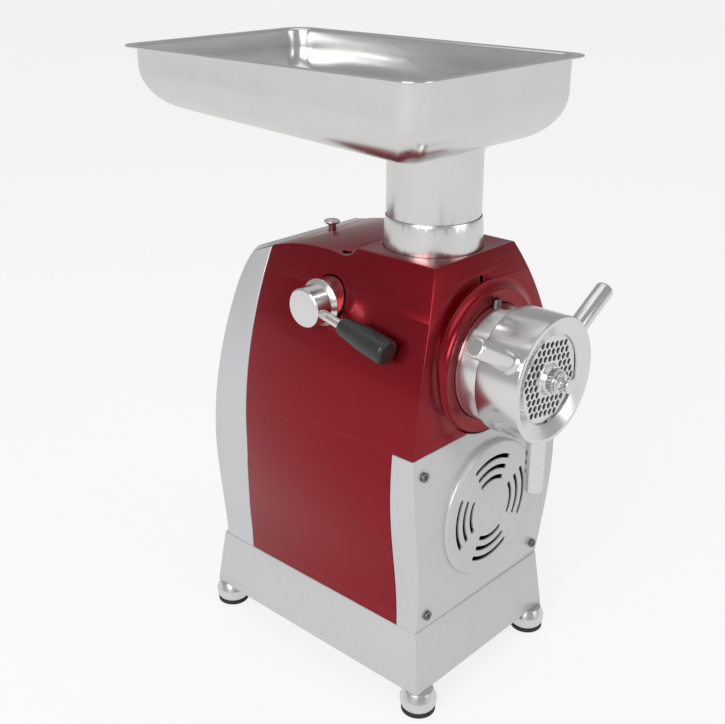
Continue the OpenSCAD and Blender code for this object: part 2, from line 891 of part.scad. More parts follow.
module stud_washer() {
    color([0.85, 0.85, 0.86]) difference() {
        ycyl(9.4, -206.4, -204.22, 0, axis_z);
        ycyl(5.83, -210, -190, 0, axis_z);
        translate([0, 0, axis_z]) rotate([0, 50, 0]) block(0, 12, -208, -203, -1.4, 1.4);
    }
}

module ring_nut() {
    color([0.76, 0.76, 0.77]) difference() {
        translate([0, 0, axis_z]) rotate([90, 0, 0]) rotate_extrude() polygon([
            [50 + gap, -ring_y1 + 1.5], [51.5, -ring_y1], [ring_r - 0.6, -ring_y1], [ring_r, -ring_y1 + 1],
            [ring_r, -ring_y0 - 1], [ring_r - 1, -ring_y0], [51.4, -ring_y0], [39.5, 196.3], [39.5, 194.5],
            [44.5, 194.5], [50 + gap, 190.5]]);
        for (a = [30, 150, 270]) {
            translate([0, -186, axis_z]) rotate([0, -a, 0]) xcyl(5.5, 52, 60);
        }
    }
}

module ring_handles() {
    color([0.8, 0.8, 0.81]) for (a = [30, 150, 270]) {
        translate([0, -186, axis_z]) rotate([0, -a, 0]) rotate([0, 90, 0]) {
            translate([0, 0, 52.05]) cylinder(r = 5.48, h = 6);
            translate([0, 0, 56.4]) rotate_extrude() polygon([[0, 0], [10.4, 0], [9.4, 1.6], [rod_r, 4.2],
                [rod_r, rod_tip - 59.4], [rod_r - 2, rod_tip - 56.4], [0, rod_tip - 56.4]]);
        }
    }
}

// ---------- feed ----------
module feed_tube() {
    color([0.78, 0.78, 0.79]) difference() {
        translate([0, tube_y, 0]) rotate_extrude() polygon([
            [38.5, axis_z], [tube_r, axis_z], [tube_r, 433.8], [42.3, tube_top_z], [spout_r + gap, tube_top_z],
            [spout_r + gap, 426], [38.5, 423]]);
        ycyl(barrel_r + gap + 0.3, -200, 60, 0, axis_z);
    }
}

// one level of the pan: its outline at depth angle k round the floor fillet
module pan_level(inset, z_floor, fillet, k) {
    rc = 16;
    d = inset + fillet * (1 - cos(k));
    r = max(rc - d + inset, 1);
    for (sx = [-1, 1]) {
        translate([sx * (tray_half_w - d - r), tray_y0 + d + r, z_floor + fillet * (1 - sin(k))])
            cylinder(r = r, h = 0.05, $fn = 32);
        translate([sx * (tray_half_w - d - r), tray_y1 - d - r, z_floor + tray_rise + (fillet - 2) * (1 - sin(k))])
            cylinder(r = r, h = 0.05, $fn = 32);
    }
}

module pan_body(inset, z_floor, fillet) {
    for (k = [0:22.5:67.5]) {
        hull() {
            pan_level(inset, z_floor, fillet, k);
            pan_level(inset, z_floor, fillet, k + 22.5);
        }
    }
    hull() {
        pan_level(inset, z_floor, fillet, 0);
        translate([0, 0, tray_z - z_floor - fillet - 1]) intersection() {
            pan_level(inset, z_floor, fillet, 0);
            block(-200, 200, -200, 0, z_floor, z_floor + 200);
        }
        for (sx = [-1, 1]) {
            translate([sx * (tray_half_w - inset - 16), tray_y1 - inset - 16, tray_z - 1])
                cylinder(r = 16, h = 1, $fn = 32);
        }
    }
}

module tray() {
    color([0.8, 0.8, 0.81]) difference() {
        union() {
            pan_body(7.5, tray_bottom_z, 40);
            hull() {
                for (sx = [-1, 1]) {
                    for (y = [tray_y0 + 20, tray_y1 - 20]) {
                        translate([sx * (tray_half_w - 20), y, tray_z - tray_t]) cylinder(r = 20, h = tray_t, $fn = 32);
                    }
                }
            }
            zcyl(spout_r, 426.5, tray_bottom_z + 8, 0, tube_y);
            translate([0, tube_y, tray_bottom_z - 4]) cylinder(r1 = spout_r, r2 = spout_r + 2.4, h = 8);
        }
        translate([0, 0, tray_t]) pan_body(7.5 + tray_t, tray_bottom_z, 40 - tray_t);
        zcyl(spout_r - tray_t, 400, 540, 0, tube_y);
    }
}

// ---------- clamp ----------
module clamp_bush() {
    color([0.72, 0.6, 0.3]) difference() {
        xcyl(7.8, -63, -40, lever_y, lever_z);
        xcyl(shaft_r + gap, -80, 0, lever_y, lever_z);
    }
}

module clamp_shaft() {
    color([0.7, 0.7, 0.72]) {
        xcyl(shaft_r, -89, -20, lever_y, lever_z);
        xcyl(7, -20, 22, lever_y, lever_z - 2.2);
    }
}

module lever_hub() {
    color([0.8, 0.8, 0.81]) difference() {
        union() {
            xcone(16.8, 17.6, -106, -105.2, lever_y, lever_z);
            xcyl(17.6, -105.2, -88.6, lever_y, lever_z);
            xcone(17.6, 21.5, -88.6, -85, lever_y, lever_z);
            xcyl(21.5, -85, -84, lever_y, lever_z);
            xcyl(21, -84, -66, lever_y, lever_z);
        }
        xcyl(shaft_r + eps, -90, -60, lever_y, lever_z);
        xcyl(18, -74, -60, lever_y, lever_z);
        translate([-97.5, lever_y, lever_z]) rotate([lever_tilt, 0, 0]) rotate([90, 0, 0])
            translate([0, 0, 9]) cylinder(r = 4.72, h = 30);
    }
}

module lever_rod() {
    color([0.82, 0.82, 0.83]) translate([-97.5, lever_y, lever_z]) rotate([lever_tilt, 0, 0])
        rotate([90, 0, 0]) translate([0, 0, 9.1]) cylinder(r = 4.7, h = 68);
}

module lever_grip() {
    color([0.12, 0.13, 0.13]) translate([-97.5, lever_y, lever_z]) rotate([lever_tilt, 0, 0])
        rotate([90, 0, 0]) rotate_extrude() polygon(concat(
            [[0, 78], [4.72, 78], [4.72, 38.5]],
            bez([6.8, 38.5], [8.2, 40], [9.2, 48], 4),
            bez([9.8, 54], [11.4, 68], [11.8, lever_len - 3], 6),
            [[11.2, lever_len - 0.8], [10, lever_len], [0, lever_len]]));
}

plinth();
base_plate();
chassis_plate();
housing_shell();
front_panel();
rear_cover();
panel_screws();
rear_cover_screws();
socket_ring();
socket_casting();
vent_guard();
foot_cups();
foot_studs();
foot_pads();
motor_can();
motor_stator();
motor_end_caps();
motor_cradle();
motor_bearings();
gearbox_case();
gearbox_cover();
gearbox_screws();
gearbox_bearings();
shaft_seal();
capacitor();
terminal_block();
power_inlet();
switch_bezel();
switch_rocker();
reset_switch();
reset_button();
reset_spring();
motor_shaft();
motor_rotor();
motor_fan();
motor_pinion();
layshaft();
first_wheel();
second_pinion();
output_wheel();
output_shaft();
head_barrel();
index_pin();
plate_key();
auger();
knife();
auger_stud();
knurled_nut();
stud_washer();
plate();
ring_nut();
ring_handles();
feed_tube();
tray();
clamp_bush();
clamp_shaft();
lever_hub();
lever_rod();
lever_grip();
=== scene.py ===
import json
import math

import bpy
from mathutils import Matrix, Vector


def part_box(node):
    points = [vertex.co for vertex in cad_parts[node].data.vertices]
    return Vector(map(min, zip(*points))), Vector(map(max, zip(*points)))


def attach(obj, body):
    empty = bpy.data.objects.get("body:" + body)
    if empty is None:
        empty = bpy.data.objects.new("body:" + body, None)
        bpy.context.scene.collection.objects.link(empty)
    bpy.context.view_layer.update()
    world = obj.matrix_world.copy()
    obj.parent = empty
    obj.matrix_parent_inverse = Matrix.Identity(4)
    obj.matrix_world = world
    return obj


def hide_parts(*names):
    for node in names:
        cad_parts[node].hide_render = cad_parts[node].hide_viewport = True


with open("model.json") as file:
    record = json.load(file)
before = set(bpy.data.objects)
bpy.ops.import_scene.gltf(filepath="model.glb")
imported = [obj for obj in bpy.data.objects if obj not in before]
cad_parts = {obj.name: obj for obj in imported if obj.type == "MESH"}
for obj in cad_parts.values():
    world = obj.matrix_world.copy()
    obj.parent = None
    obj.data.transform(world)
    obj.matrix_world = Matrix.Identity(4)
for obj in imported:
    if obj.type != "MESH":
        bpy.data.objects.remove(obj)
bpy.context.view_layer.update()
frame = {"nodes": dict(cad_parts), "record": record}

MM = 0.001
AXIS_Z = 324.9
MOTOR_Z = 181.2
TUBE_Y = -66.3
KNOB_Y = 57.6
LEVER_Y, LEVER_Z, LEVER_X = -9.9, 370.4, -97.5
LEVER_DROOP = math.radians(12)
PLINTH_TOP = 85.9
PLATFORM_Z = 416.6
BELLY_HALF, BELLY_Z, SIDE_R = 105.2, 224.4, 395.0
WAIST_HALF = 94.5
PANEL_TOP = 264.0
STRIP_SEAM = -111.0
SHEET = 2.0
FOLD = 0.8  # rounding of the sheet's folds and edges
BELOW = 70.0  # the housing is drawn down to here, then cut off on the plinth
MOUTH_R = 67.0  # the round hole for the head, behind the boss
SEAM_GAP = 0.2  # half the gap between the red shell and the rear cover
PANEL_GAP = 0.4  # gap between the red shell and the front panel
WIDE = 150.0  # more than half the housing's width, for cutters
FEET = [(x, y) for x in (-87.3, 87.3) for y in (-133.2, 127.0)]
COLOR_A, COLOR_B, COLOR_OUT = 6, 7, 2  # the colour sockets of a Mix node
BACKDROP = (0.913, 0.913, 0.913, 1)


# ---------- making by hand ----------
def take(obj):
    """Makes obj the only selected thing."""
    bpy.ops.object.select_all(action="DESELECT")
    obj.select_set(True)
    bpy.context.view_layer.objects.active = obj


def open_mesh(obj, kind="VERT"):
    take(obj)
    bpy.ops.object.mode_set(mode="EDIT")
    bpy.ops.mesh.select_mode(type=kind)
    bpy.ops.mesh.select_all(action="SELECT")


def close_mesh():
    bpy.ops.object.mode_set(mode="OBJECT")


def place(obj):
    """Puts the piece's place into its mesh."""
    take(obj)
    bpy.ops.object.transform_apply(location=True, rotation=True, scale=True)


def tidy(obj, reach=0.002):
    """Merges doubled points and turns the faces outwards."""
    open_mesh(obj)
    bpy.ops.mesh.remove_doubles(threshold=reach * MM)
    bpy.ops.mesh.normals_make_consistent(inside=False)
    close_mesh()


def chain(points):
    """A chain of edges through the points, drawn from one vertex."""
    spots = [Vector(p) * MM for p in points]
    bpy.ops.object.select_all(action="DESELECT")
    bpy.ops.mesh.primitive_plane_add(size=MM, location=spots[0])
    obj = bpy.context.object
    bpy.ops.object.mode_set(mode="EDIT")
    bpy.ops.mesh.merge(type="CENTER")
    for here, there in zip(spots, spots[1:]):
        bpy.ops.mesh.extrude_region_move(TRANSFORM_OT_translate={"value": there - here})
    close_mesh()
    place(obj)
    return obj


def slab(points, push):
    """A closed outline filled and pushed into a solid."""
    obj = chain(points)
    open_mesh(obj)
    bpy.ops.mesh.edge_face_add()
    bpy.ops.mesh.extrude_region_move(TRANSFORM_OT_translate={"value": Vector(push) * MM})
    close_mesh()
    tidy(obj)
    return obj


def turned(profile, centre, turn=(0, 0, 0), steps=96):
    """A lathe piece from (radius, place along the axis). The axis is +Z until it is turned."""
    obj = chain([(r, 0, along) for r, along in profile])
    open_mesh(obj)
    bpy.ops.mesh.spin(steps=steps, angle=2 * math.pi, center=(0, 0, 0), axis=(0, 0, 1))
    close_mesh()
    obj.rotation_euler = turn
    obj.location = Vector(centre) * MM
    place(obj)
    tidy(obj)
    return obj


def add_modifier(obj, kind, **settings):
    take(obj)
    mod = obj.modifiers.new(kind, kind)
    for key, value in settings.items():
        setattr(mod, key, value)
    bpy.ops.object.modifier_apply(modifier=mod.name)


def soften(obj, width, steps=3, angle=30):
    """Rounds the edges sharper than angle and shades the rest smooth."""
    add_modifier(obj, "BEVEL", width=width * MM, segments=steps, limit_method="ANGLE",
                 angle_limit=math.radians(angle), use_clamp_overlap=False, miter_outer="MITER_ARC")
    take(obj)
    bpy.ops.object.shade_smooth_by_angle(angle=math.radians(angle))


def carve(obj, cutter, how="DIFFERENCE"):
    add_modifier(obj, "BOOLEAN", object=cutter, operation=how, solver="EXACT")
    bpy.data.objects.remove(cutter)


def copy_of(obj):
    take(obj)
    bpy.ops.object.duplicate(linked=False)
    return bpy.context.object


def joined(objs):
    take(objs[0])
    for obj in objs:
        obj.select_set(True)
    bpy.ops.object.join()
    return bpy.context.object


def rod(radius, start, end, centre, turn, steps=64):
    """A plain bar for cutting holes."""
    return turned([(0, start), (radius, start), (radius, end), (0, end)], centre, turn, steps)


def arc(cx, cy, r, a0, a1, n):
    """Points round an arc, angles in degrees."""
    angles = [math.radians(a0 + (a1 - a0) * i / n) for i in range(n + 1)]
    return [(cx + r * math.cos(a), cy + r * math.sin(a)) for a in angles]


def curve(a, b, c, n):
    """A smooth curve from a to c drawn towards b."""
    ts = [i / n for i in range(n + 1)]
    return [
        tuple((1 - t) ** 2 * p + 2 * t * (1 - t) * q + t * t * r for p, q, r in zip(a, b, c))
        for t in ts
    ]


ALONG_FRONT = (math.pi / 2, 0, 0)  # the lathe axis turned to point at -Y
ALONG_SIDE = (0, -math.pi / 2, 0)  # the lathe axis turned to point at -X


def settle(obj, name, slot, body, *stands_for):
    """Names the finished piece, gives it its finish and lets it ride on its body."""
    obj.name = name
    obj.data.name = name
    obj.data.materials.clear()
    obj.data.materials.append(finishes[slot])
    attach(obj, body)
    if stands_for:
        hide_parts(*stands_for)
    return obj


# ---------- shader parts ----------
def node_group(name, inputs, outputs):
    group = bpy.data.node_groups.new(name, "ShaderNodeTree")
    for label, value in inputs.items():
        kind = "NodeSocketVector" if isinstance(value, tuple) else "NodeSocketFloat"
        socket = group.interface.new_socket(label, in_out="INPUT", socket_type=kind)
        socket.default_value = value
    for label in outputs:
        group.interface.new_socket(label, in_out="OUTPUT", socket_type="NodeSocketFloat")
    return group


def add_node(tree, kind, **settings):
    made = tree.nodes.new("ShaderNode" + kind)
    for key, value in settings.items():
        if hasattr(made, key):
            setattr(made, key, value)
        else:
            made.inputs[key.replace("_", " ")].default_value = value
    return made


def group_ends(group):
    return group.nodes.new("NodeGroupInput").outputs, group.nodes.new("NodeGroupOutput").inputs


def math_node(tree, how, a, b):
    made = add_node(tree, "Math", operation=how)
    for socket, value in zip(made.inputs, (a, b)):
        if isinstance(value, (int, float)):
            socket.default_value = value
        else:
            tree.links.new(value, socket)
    return made.outputs[0]


def grain_group():
    """Fine even grain, from -0.5 to 0.5, and a slow drift over the piece."""
    group = node_group("fine grain", {"Scale": 900.0, "Drift Scale": 14.0}, ["Grain", "Drift"])
    given, out = group_ends(group)
    place_in = add_node(group, "TexCoord").outputs["Object"]
    for label, scale, detail in (("Grain", "Scale", 3.0), ("Drift", "Drift Scale", 2.0)):
        noise = add_node(group, "TexNoise", Detail=detail, Roughness=0.55)
        group.links.new(place_in, noise.inputs["Vector"])
        group.links.new(given[scale], noise.inputs["Scale"])
        group.links.new(math_node(group, "SUBTRACT", noise.outputs[0], 0.5), out[label])
    return group


def brush_group():
    """Long fine scratches: noise stretched by Stretch, from -0.5 to 0.5."""
    group = node_group("brushing", {"Stretch": (900.0, 12.0, 900.0)}, ["Lines"])
    given, out = group_ends(group)
    stretch = add_node(group, "VectorMath", operation="MULTIPLY")
    group.links.new(add_node(group, "TexCoord").outputs["Object"], stretch.inputs[0])
    group.links.new(given["Stretch"], stretch.inputs[1])
    noise = add_node(group, "TexNoise", Scale=1.0, Detail=3.0, Roughness=0.6)
    group.links.new(stretch.outputs[0], noise.inputs["Vector"])
    group.links.new(math_node(group, "SUBTRACT", noise.outputs[0], 0.5), out["Lines"])
    return group


def lathe_group():
    """Tool marks round the head's axis, from -0.5 to 0.5, across the radius and along the axis."""
    group = node_group("lathe marks", {"Fineness": 1500.0, "Axis Height": AXIS_Z * MM}, ["Marks"])
    given, out = group_ends(group)
    split = add_node(group, "SeparateXYZ")
    group.links.new(add_node(group, "TexCoord").outputs["Object"], split.inputs[0])
    up = math_node(group, "SUBTRACT", split.outputs["Z"], given["Axis Height"])
    across2 = math_node(group, "MULTIPLY", split.outputs["X"], split.outputs["X"])
    up2 = math_node(group, "MULTIPLY", up, up)
    radius = math_node(group, "SQRT", math_node(group, "ADD", across2, up2), 0.0)
    spot = math_node(group, "ADD", radius, math_node(group, "MULTIPLY", split.outputs["Y"], 1.37))
    noise = add_node(group, "TexNoise", noise_dimensions="1D", Scale=1.0, Detail=2.0)
    group.links.new(math_node(group, "MULTIPLY", spot, given["Fineness"]), noise.inputs["W"])
    group.links.new(math_node(group, "SUBTRACT", noise.outputs[0], 0.5), out["Marks"])
    return group


def flake_group():
    """Metallic flakes in paint, each its own brightness from -0.5 to 0.5."""
    group = node_group("paint flakes", {"Scale": 2600.0}, ["Flakes"])
    given, out = group_ends(group)
    cells = add_node(group, "TexVoronoi")
    group.links.new(add_node(group, "TexCoord").outputs["Object"], cells.inputs["Vector"])
    group.links.new(given["Scale"], cells.inputs["Scale"])
    split = add_node(group, "SeparateColor")
    group.links.new(cells.outputs["Color"], split.inputs[0])
    group.links.new(math_node(group, "SUBTRACT", split.outputs[0], 0.5), out["Flakes"])
    return group


def edge_highlight_group():
    """How much lighter an outer edge is painted, 0 to 1, broken up by noise: a painted edge highlight."""
    group = node_group("painted edge highlight", {"Amount": 0.5}, ["Wear"])
    given, out = group_ends(group)
    edge = add_node(group, "MapRange")
    edge.inputs["From Min"].default_value = 0.53
    edge.inputs["From Max"].default_value = 0.62
    group.links.new(add_node(group, "NewGeometry").outputs["Pointiness"], edge.inputs["Value"])
    noise = add_node(group, "TexNoise", Scale=160.0, Detail=4.0)
    group.links.new(add_node(group, "TexCoord").outputs["Object"], noise.inputs["Vector"])
    broken = math_node(group, "MULTIPLY", edge.outputs[0], noise.outputs[0])
    group.links.new(math_node(group, "MULTIPLY", broken, given["Amount"]), out["Wear"])
    return group


GRAIN = grain_group()
BRUSH = brush_group()
LATHE = lathe_group()
FLAKES = flake_group()
EDGE_HIGHLIGHT = edge_highlight_group()


def place_group(tree, group, **values):
    made = tree.nodes.new("ShaderNodeGroup")
    made.node_tree = group
    for key, value in values.items():
        made.inputs[key.replace("_", " ")].default_value = value
    return made


def spread(tree, base, amount, value):
    """base plus amount times a value that is centred on nothing."""
    return math_node(tree, "ADD", math_node(tree, "MULTIPLY", value, amount), base)


def tint(tree, dark, light, value, gain):
    """A colour between dark and light, by a value centred on nothing."""
    mix = add_node(tree, "Mix", data_type="RGBA")
    tree.links.new(spread(tree, 0.5, gain, value), mix.inputs["Factor"])
    mix.inputs[COLOR_A].default_value = (*dark, 1)
    mix.inputs[COLOR_B].default_value = (*light, 1)
    return mix.outputs[COLOR_OUT]


def blank(name):
    made = bpy.data.materials.new(name)
    made.use_nodes = True
    return made, made.node_tree, made.node_tree.nodes["Principled BSDF"]


def bump(tree, shader, height, depth):
    made = add_node(tree, "Bump", Strength=0.6, Distance=depth * MM)
    tree.links.new(height, made.inputs["Height"])
    tree.links.new(made.outputs[0], shader.inputs["Normal"])


def paint(name, dark, light, metal, rough, coat, edge_highlight_color):
    """Sprayed metallic paint under lacquer, painted lighter on its sharp outer edges as a painted edge
    highlight.
    """
    made, tree, shader = blank(name)
    flakes = place_group(tree, FLAKES).outputs["Flakes"]
    grain = place_group(tree, GRAIN, Scale=420.0, Drift_Scale=9.0)
    edge_highlight = place_group(tree, EDGE_HIGHLIGHT, Amount=0.5).outputs["Wear"]
    mix = add_node(tree, "Mix", data_type="RGBA")
    # the sharp outer edges take the lighter last colour: a painted edge highlight
    tree.links.new(edge_highlight, mix.inputs["Factor"])
    speckle = math_node(tree, "ADD", flakes, grain.outputs["Drift"])
    tree.links.new(tint(tree, dark, light, speckle, 0.6), mix.inputs[COLOR_A])
    mix.inputs[COLOR_B].default_value = (*edge_highlight_color, 1)
    tree.links.new(mix.outputs[COLOR_OUT], shader.inputs["Base Color"])
    tree.links.new(spread(tree, rough, 0.10, grain.outputs["Drift"]), shader.inputs["Roughness"])
    shader.inputs["Metallic"].default_value = metal
    shader.inputs["Coat Weight"].default_value = coat
    shader.inputs["Coat Roughness"].default_value = 0.07
    bump(tree, shader, grain.outputs["Grain"], 0.02)
    return made


def steel(name, dark, light, rough, lines, stretch, depth):
    """Steel with lines drawn along stretch, or lathe lines when it is None."""
    made, tree, shader = blank(name)
    if stretch:
        marks = place_group(tree, BRUSH, Stretch=stretch).outputs["Lines"]
    else:
        marks = place_group(tree, LATHE).outputs["Marks"]
    drift = place_group(tree, GRAIN, Drift_Scale=24.0).outputs["Drift"]
    both = math_node(tree, "ADD", marks, drift)
    tree.links.new(tint(tree, dark, light, both, 1.0), shader.inputs["Base Color"])
    tree.links.new(spread(tree, rough, lines, both), shader.inputs["Roughness"])
    shader.inputs["Metallic"].default_value = 1.0
    bump(tree, shader, marks, depth)
    return made


def cast(name, dark, light, metal, rough, size, depth):
    """A rough cast, moulded or sintered skin."""
    made, tree, shader = blank(name)
    grain = place_group(tree, GRAIN, Scale=size, Drift_Scale=30.0)
    # the sharp outer edges are painted lighter: a painted edge highlight
    edge_highlight = place_group(tree, EDGE_HIGHLIGHT, Amount=0.35).outputs["Wear"]
    both = math_node(tree, "ADD", grain.outputs["Grain"], grain.outputs["Drift"])
    tone = math_node(tree, "ADD", both, edge_highlight)
    tree.links.new(tint(tree, dark, light, tone, 1.0), shader.inputs["Base Color"])
    tree.links.new(spread(tree, rough, 0.22, grain.outputs["Drift"]), shader.inputs["Roughness"])
    shader.inputs["Metallic"].default_value = metal
    bump(tree, shader, grain.outputs["Grain"], depth)
    return made


finishes = {
    # the last colour given to each paint is its painted edge highlight
    "red_paint": paint(
        "red metallic paint", (0.20, 0.003, 0.009), (0.33, 0.006, 0.016), 0.85, 0.28, 0.22,
        (0.42, 0.10, 0.10)),
    "silver_paint": paint(
        "silver paint", (0.57, 0.57, 0.58), (0.63, 0.63, 0.64), 0.40, 0.34, 0.30, (0.72, 0.72, 0.72)),
    "stainless": steel(
        "satin stainless", (0.70, 0.695, 0.685), (0.78, 0.775, 0.765), 0.24, 0.05,
        (2400.0, 2400.0, 30.0), 0.0012),
    "polished": steel(
        "turned stainless", (0.74, 0.735, 0.725), (0.82, 0.815, 0.805), 0.20, 0.05, None, 0.0012),
    "machined": steel(
        "machined steel", (0.15, 0.15, 0.155), (0.25, 0.25, 0.255), 0.38, 0.1, None, 0.003),
    "cast_alu": cast(
        "cast aluminium", (0.40, 0.41, 0.42), (0.62, 0.63, 0.64), 0.9, 0.52, 700.0, 0.08),
    "cast": cast(
        "dark motor enamel", (0.05, 0.055, 0.06), (0.12, 0.12, 0.13), 0.3, 0.5, 500.0, 0.06),
    "copper_wound": cast(
        "varnished copper windings", (0.30, 0.11, 0.04), (0.62, 0.27, 0.11), 0.8, 0.4, 800.0, 0.2),
    "bronze": cast(
        "oil bronze", (0.30, 0.20, 0.08), (0.52, 0.36, 0.16), 0.9, 0.45, 1100.0, 0.04),
    "black_plastic": cast(
        "black plastic", (0.012, 0.012, 0.013), (0.035, 0.035, 0.037), 0.0, 0.46, 900.0, 0.05),
    "grip_plastic": cast(
        "grip plastic", (0.018, 0.021, 0.020), (0.034, 0.038, 0.037), 0.0, 0.30, 500.0, 0.02),
    "rocker_red": cast(
        "red rocker plastic", (0.30, 0.01, 0.01), (0.45, 0.02, 0.02), 0.0, 0.3, 900.0, 0.02),
    "pale_plastic": cast(
        "pale nylon", (0.62, 0.61, 0.55), (0.76, 0.75, 0.70), 0.0, 0.42, 700.0, 0.04),
    "rubber": cast(
        "black rubber", (0.008, 0.008, 0.008), (0.025, 0.025, 0.025), 0.0, 0.68, 1300.0, 0.08),
}


def finish_cad_nodes():
    """Every carried-over part takes the finish of its slot."""
    for part in frame["record"]["subparts"]:
        mesh = frame["nodes"][part["node"]].data
        if not mesh.materials:
            mesh.materials.append(None)
        for i in range(len(mesh.materials)):
            mesh.materials[i] = finishes[part["material_slot"]]


# ---------- housing ----------
def half_width(z):
    if z >= BELLY_Z:
        return BELLY_HALF - SIDE_R + math.sqrt(SIDE_R**2 - (z - BELLY_Z) ** 2)
    up = max(0.0, z - 92) / (BELLY_Z - 92)
    return WAIST_HALF + (BELLY_HALF - WAIST_HALF) * (1 - math.cos(math.pi * up)) / 2


def front_outline(inset):
    """The housing seen from the front, as (x, z), drawn in by inset."""
    levels = [BELOW + (PLATFORM_Z + 1 - BELOW) * i / 42 for i in range(43)]
    left = [(inset - half_width(z), z) for z in reversed(levels)]
    return [(half_width(z) - inset, z) for z in levels] + left


def side_outline(inset):
    """The housing seen from the side, as (y, z), drawn in by inset."""
    t = inset
    return (
        [(t - 131.0, BELOW)]
        + curve((t - 133.3, PLINTH_TOP), (t - 146.8, 176), (t - 132.9, 274), 18)
        + curve((t - 132.2, 316), (t - 130.6, 372), (t - 114.1, PLATFORM_Z - t), 14)
        + curve((-27 - 0.4 * t, PLATFORM_Z - t), (-22 - 0.6 * t, 407.6 - t), (-12, 408.7 - t), 6)
        + curve((-5, 409.4 - t), (35, 412.6 - t), (73, 401.4 - t), 12)
        + curve((84 - 0.3 * t, 399.6 - t), (101 - t, 400 - 0.6 * t), (106.5 - t, 345), 14)
        + curve((109 - t, 325), (124.5 - t, 190), (124 - t, 120), 10)
        + [(122 - t, PLINTH_TOP), (121.2 - t, BELOW)]
    )


def side_block(y0, y1, z0, z1):
    """A cutter across the whole housing, seen from the side as a rectangle."""
    corners = [(y0, z0), (y1, z0), (y1, z1), (y0, z1)]
    return slab([(-WIDE, y, z) for y, z in corners], (2 * WIDE, 0, 0))


def rear_window(half, low, high):
    """A cutter for a rectangular opening in the rear cover."""
    corners = [(-half, high), (half, high), (half, low), (-half, low)]
    return slab([(x, 95, z) for x, z in corners], (0, 40, 0))


def mouth_cutter():
    return rod(MOUTH_R, 100, 160, (0, 0, AXIS_Z), ALONG_FRONT)


def rear_seam():
    """Where the red shell meets the rear cover, from the roof down, as (y, z)."""
    return [(73, 430), (73, 215), (74, 200), (76, 186), (80, 155), (82.4, 136), (83, 124), (83, 60)]


def housing_form(inset):
    """The housing as a solid, drawn in by inset."""
    form = slab([(x, -160, z) for x, z in front_outline(inset)], (0, 320, 0))
    carve(form, slab([(-150, y, z) for y, z in side_outline(inset)], (300, 0, 0)), "INTERSECT")
    tidy(form, 0.05)
    return form


def housing_sheet():
    """The whole bent sheet, open underneath."""
    sheet = housing_form(0)
    carve(sheet, slab([(-200, -200, 60), (200, -200, 60), (200, -200, PLINTH_TOP), (-200, -200, PLINTH_TOP)],
                      (0, 400, 0)))
    carve(sheet, housing_form(SHEET))
    return sheet


def drill(piece, *bars):
    for bar in bars:
        carve(piece, bar)


def make_housing():
    """The housing sheet cut into the red shell, the front cover and the back cover."""
    sheet = housing_sheet()
    seam = rear_seam()
    rear = copy_of(sheet)
    behind = [(y + SEAM_GAP, z) for y, z in seam] + [(200, 60), (200, 430)]
    carve(rear, slab([(-WIDE, y, z) for y, z in behind], (2 * WIDE, 0, 0)), "INTERSECT")
    drill(rear, rear_window(13.2, 284, 316), rear_window(14.2, 112, 134))
    drill(rear, *[rear_window(38, low, low + 4) for low in range(172, 242, 10)])
    soften(rear, FOLD)

    front = copy_of(sheet)
    carve(front, side_block(-200, STRIP_SEAM, 60, PANEL_TOP), "INTERSECT")
    drill(front, rod(62.5, 100, 160, (0, 0, MOTOR_Z), ALONG_FRONT), mouth_cutter())
    soften(front, FOLD)

    red = sheet
    behind = [(y - SEAM_GAP, z) for y, z in seam] + [(200, 60), (200, 430)]
    drill(
        red,
        slab([(-WIDE, y, z) for y, z in behind], (2 * WIDE, 0, 0)),
        side_block(-200, STRIP_SEAM + PANEL_GAP, 60, PANEL_TOP + PANEL_GAP),
        mouth_cutter(),
        rod(43.9, 380, 440, (0, TUBE_Y, 0), (0, 0, 0)),  # feed tube
        rod(21.7, 40, 120, (0, LEVER_Y, LEVER_Z), ALONG_SIDE),  # lever hub
        rod(4.7, 390, 420, (0, KNOB_Y, 0), (0, 0, 0), 32),  # reset button
        rod(4.3, 390, 430, (-50.5, -10.1, 0), (0, 0, 0), 32),  # small roof hole
        rod(2.8, 100, 150, (0, 0, 396.2), ALONG_FRONT, 24),  # small hole above the head
    )
    soften(red, FOLD)
    settle(red, "red_shell", "red_paint", "machine", "housing_shell")
    settle(front, "front_cover", "silver_paint", "machine", "front_panel")
    settle(rear, "back_cover", "silver_paint", "machine", "rear_cover")


def slot_cutter(radius, middle):
    """A cutter for one curved air slot, round ends and all, in the plane of the vent disc."""
    half, lean = 2.1, 28
    outer = arc(0, 0, radius + half, middle - lean, middle + lean, 16)
    inner = arc(0, 0, radius - half, middle + lean, middle - lean, 16)
    end = math.radians(middle + lean)
    begin = math.radians(middle - lean)
    far = arc(radius * math.cos(end), radius * math.sin(end), half, middle + lean, middle + lean + 180, 6)
    near = arc(radius * math.cos(begin), radius * math.sin(begin), half,
               middle - lean + 180, middle - lean + 360, 6)
    outline = outer[:-1] + far[:-1] + inner[:-1] + near[:-1]
    return slab([(x, -150, MOTOR_Z + z) for x, z in outline], (0, 20, 0))


def make_vent_disc():
    """The raised disc with three rings of air slots."""
    rim = [(0, 142.7), (62.6, 142.7)] + arc(62.6, 139.9, 2.8, 90, 0, 5)
    rim += [(65.4, 135.5), (62, 135.5), (62, 140.6), (0, 140.6)]
    disc = turned(rim, (0, 0, MOTOR_Z), ALONG_FRONT)
    for radius in (30, 40, 50):
        for middle in (0, 90, 180, 270):
            carve(disc, slot_cutter(radius, middle))
    soften(disc, 0.3, 2, 40)
    settle(disc, "vent_disc", "silver_paint", "machine")


